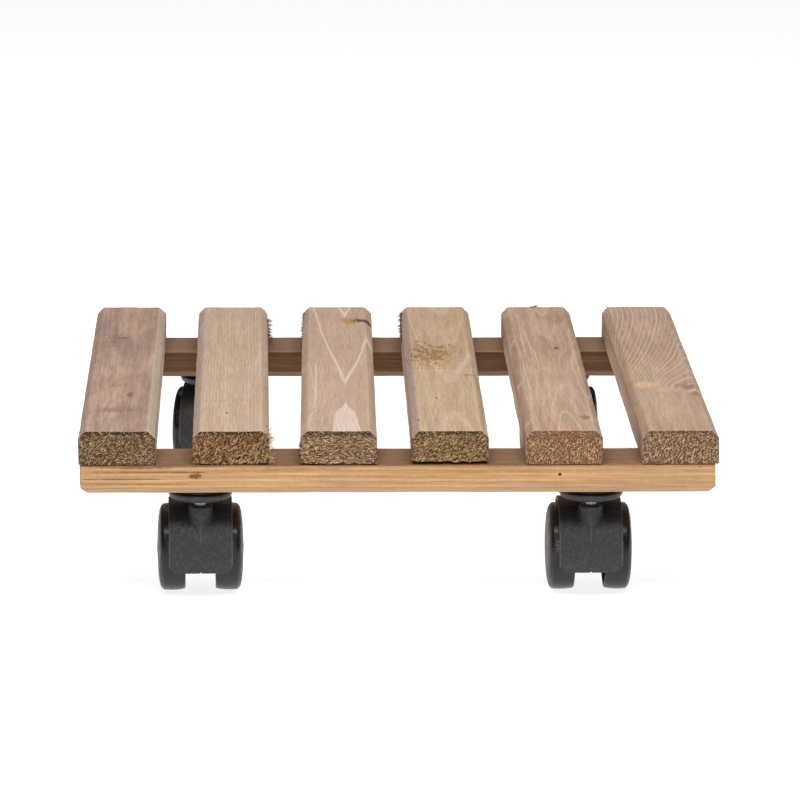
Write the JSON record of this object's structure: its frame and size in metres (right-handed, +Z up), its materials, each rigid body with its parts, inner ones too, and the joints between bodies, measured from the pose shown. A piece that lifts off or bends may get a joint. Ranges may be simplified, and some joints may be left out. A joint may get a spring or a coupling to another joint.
{
  "type": "plant pot caddy",
  "caption": "Low square plant pot caddy: softwood slats with bevelled edges on two battens, rolling on twin-wheel swivel casters.",
  "frame": {"origin": "on the floor, under the middle of the caddy's bounding box; the rear casters trail past the deck, so the deck's middle is 12.8 mm in front of it", "axes": "+X to the right across the slats, +Y to the back along the slats, +Z up"},
  "size_m": [0.374, 0.3999, 0.1045],
  "materials": {
    "timber": "planed, brown pressure-treated softwood, unvarnished",
    "hood_nylon": "spark-eroded matt black nylon",
    "plate_nylon": "matt black nylon",
    "wheel_nylon": "satin to gloss black nylon",
    "stem_steel": "bright turned steel",
    "screw_steel": "zinc plated steel"
  },
  "bodies": {
    "deck": {"slat_1": "timber", "slat_2": "timber", "slat_3": "timber", "slat_4": "timber", "slat_5": "timber", "slat_6": "timber", "front_batten": "timber", "rear_batten": "timber", "slat_screw_front_1": "screw_steel", "slat_screw_front_2": "screw_steel", "slat_screw_front_3": "screw_steel", "slat_screw_front_4": "screw_steel", "slat_screw_front_5": "screw_steel", "slat_screw_front_6": "screw_steel", "slat_screw_rear_1": "screw_steel", "slat_screw_rear_2": "screw_steel", "slat_screw_rear_3": "screw_steel", "slat_screw_rear_4": "screw_steel", "slat_screw_rear_5": "screw_steel", "slat_screw_rear_6": "screw_steel", "front_left_mounting_plate": "plate_nylon", "front_left_stem": "stem_steel", "front_left_grip_ring": "stem_steel", "front_left_plate_screw_1": "screw_steel", "front_left_plate_screw_2": "screw_steel", "front_left_plate_screw_3": "screw_steel", "front_right_mounting_plate": "plate_nylon", "front_right_stem": "stem_steel", "front_right_grip_ring": "stem_steel", "front_right_plate_screw_1": "screw_steel", "front_right_plate_screw_2": "screw_steel", "front_right_plate_screw_3": "screw_steel", "rear_left_mounting_plate": "plate_nylon", "rear_left_stem": "stem_steel", "rear_left_grip_ring": "stem_steel", "rear_left_plate_screw_1": "screw_steel", "rear_left_plate_screw_2": "screw_steel", "rear_left_plate_screw_3": "screw_steel", "rear_right_mounting_plate": "plate_nylon", "rear_right_stem": "stem_steel", "rear_right_grip_ring": "stem_steel", "rear_right_plate_screw_1": "screw_steel", "rear_right_plate_screw_2": "screw_steel", "rear_right_plate_screw_3": "screw_steel"},
    "front_left_caster": {"front_left_hood": "hood_nylon", "front_left_axle": "stem_steel"},
    "front_left_wheel_left": {"front_left_wheel_left": "wheel_nylon"},
    "front_left_wheel_right": {"front_left_wheel_right": "wheel_nylon"},
    "front_right_caster": {"front_right_hood": "hood_nylon", "front_right_axle": "stem_steel"},
    "front_right_wheel_left": {"front_right_wheel_left": "wheel_nylon"},
    "front_right_wheel_right": {"front_right_wheel_right": "wheel_nylon"},
    "rear_left_caster": {"rear_left_hood": "hood_nylon", "rear_left_axle": "stem_steel"},
    "rear_left_wheel_left": {"rear_left_wheel_left": "wheel_nylon"},
    "rear_left_wheel_right": {"rear_left_wheel_right": "wheel_nylon"},
    "rear_right_caster": {"rear_right_hood": "hood_nylon", "rear_right_axle": "stem_steel"},
    "rear_right_wheel_left": {"rear_right_wheel_left": "wheel_nylon"},
    "rear_right_wheel_right": {"rear_right_wheel_right": "wheel_nylon"}
  },
  "joints": [
    {"name": "front_left_swivel", "type": "hinge", "parent": "deck", "child": "front_left_caster", "pos_m": [-0.1161, -0.17752, 0.05], "axis": [0, 0, 1], "continuous": true},
    {"name": "front_left_left_spin", "type": "hinge", "parent": "front_left_caster", "child": "front_left_wheel_left", "pos_m": [-0.11654, -0.15953, 0.0259], "axis": [0.9997, 0.0244, 0], "continuous": true},
    {"name": "front_left_right_spin", "type": "hinge", "parent": "front_left_caster", "child": "front_left_wheel_right", "pos_m": [-0.11654, -0.15953, 0.0259], "axis": [0.9997, 0.0244, 0], "continuous": true},
    {"name": "front_right_swivel", "type": "hinge", "parent": "deck", "child": "front_right_caster", "pos_m": [0.1143, -0.17752, 0.05], "axis": [0, 0, 1], "continuous": true},
    {"name": "front_right_left_spin", "type": "hinge", "parent": "front_right_caster", "child": "front_right_wheel_left", "pos_m": [0.11414, -0.15952, 0.0259], "axis": [1, 0.0087, 0], "continuous": true},
    {"name": "front_right_right_spin", "type": "hinge", "parent": "front_right_caster", "child": "front_right_wheel_right", "pos_m": [0.11414, -0.15952, 0.0259], "axis": [1, 0.0087, 0], "continuous": true},
    {"name": "rear_left_swivel", "type": "hinge", "parent": "deck", "child": "rear_left_caster", "pos_m": [-0.1145, 0.15198, 0.05], "axis": [0, 0, 1], "continuous": true},
    {"name": "rear_left_left_spin", "type": "hinge", "parent": "rear_left_caster", "child": "rear_left_wheel_left", "pos_m": [-0.11231, 0.16984, 0.0259], "axis": [0.9925, -0.1219, 0], "continuous": true},
    {"name": "rear_left_right_spin", "type": "hinge", "parent": "rear_left_caster", "child": "rear_left_wheel_right", "pos_m": [-0.11231, 0.16984, 0.0259], "axis": [0.9925, -0.1219, 0], "continuous": true},
    {"name": "rear_right_swivel", "type": "hinge", "parent": "deck", "child": "rear_right_caster", "pos_m": [0.1143, 0.15198, 0.05], "axis": [0, 0, 1], "continuous": true},
    {"name": "rear_right_left_spin", "type": "hinge", "parent": "rear_right_caster", "child": "rear_right_wheel_left", "pos_m": [0.1143, 0.16998, 0.0259], "axis": [1, 0, 0], "continuous": true},
    {"name": "rear_right_right_spin", "type": "hinge", "parent": "rear_right_caster", "child": "rear_right_wheel_right", "pos_m": [0.1143, 0.16998, 0.0259], "axis": [1, 0, 0], "continuous": true}
  ]
}
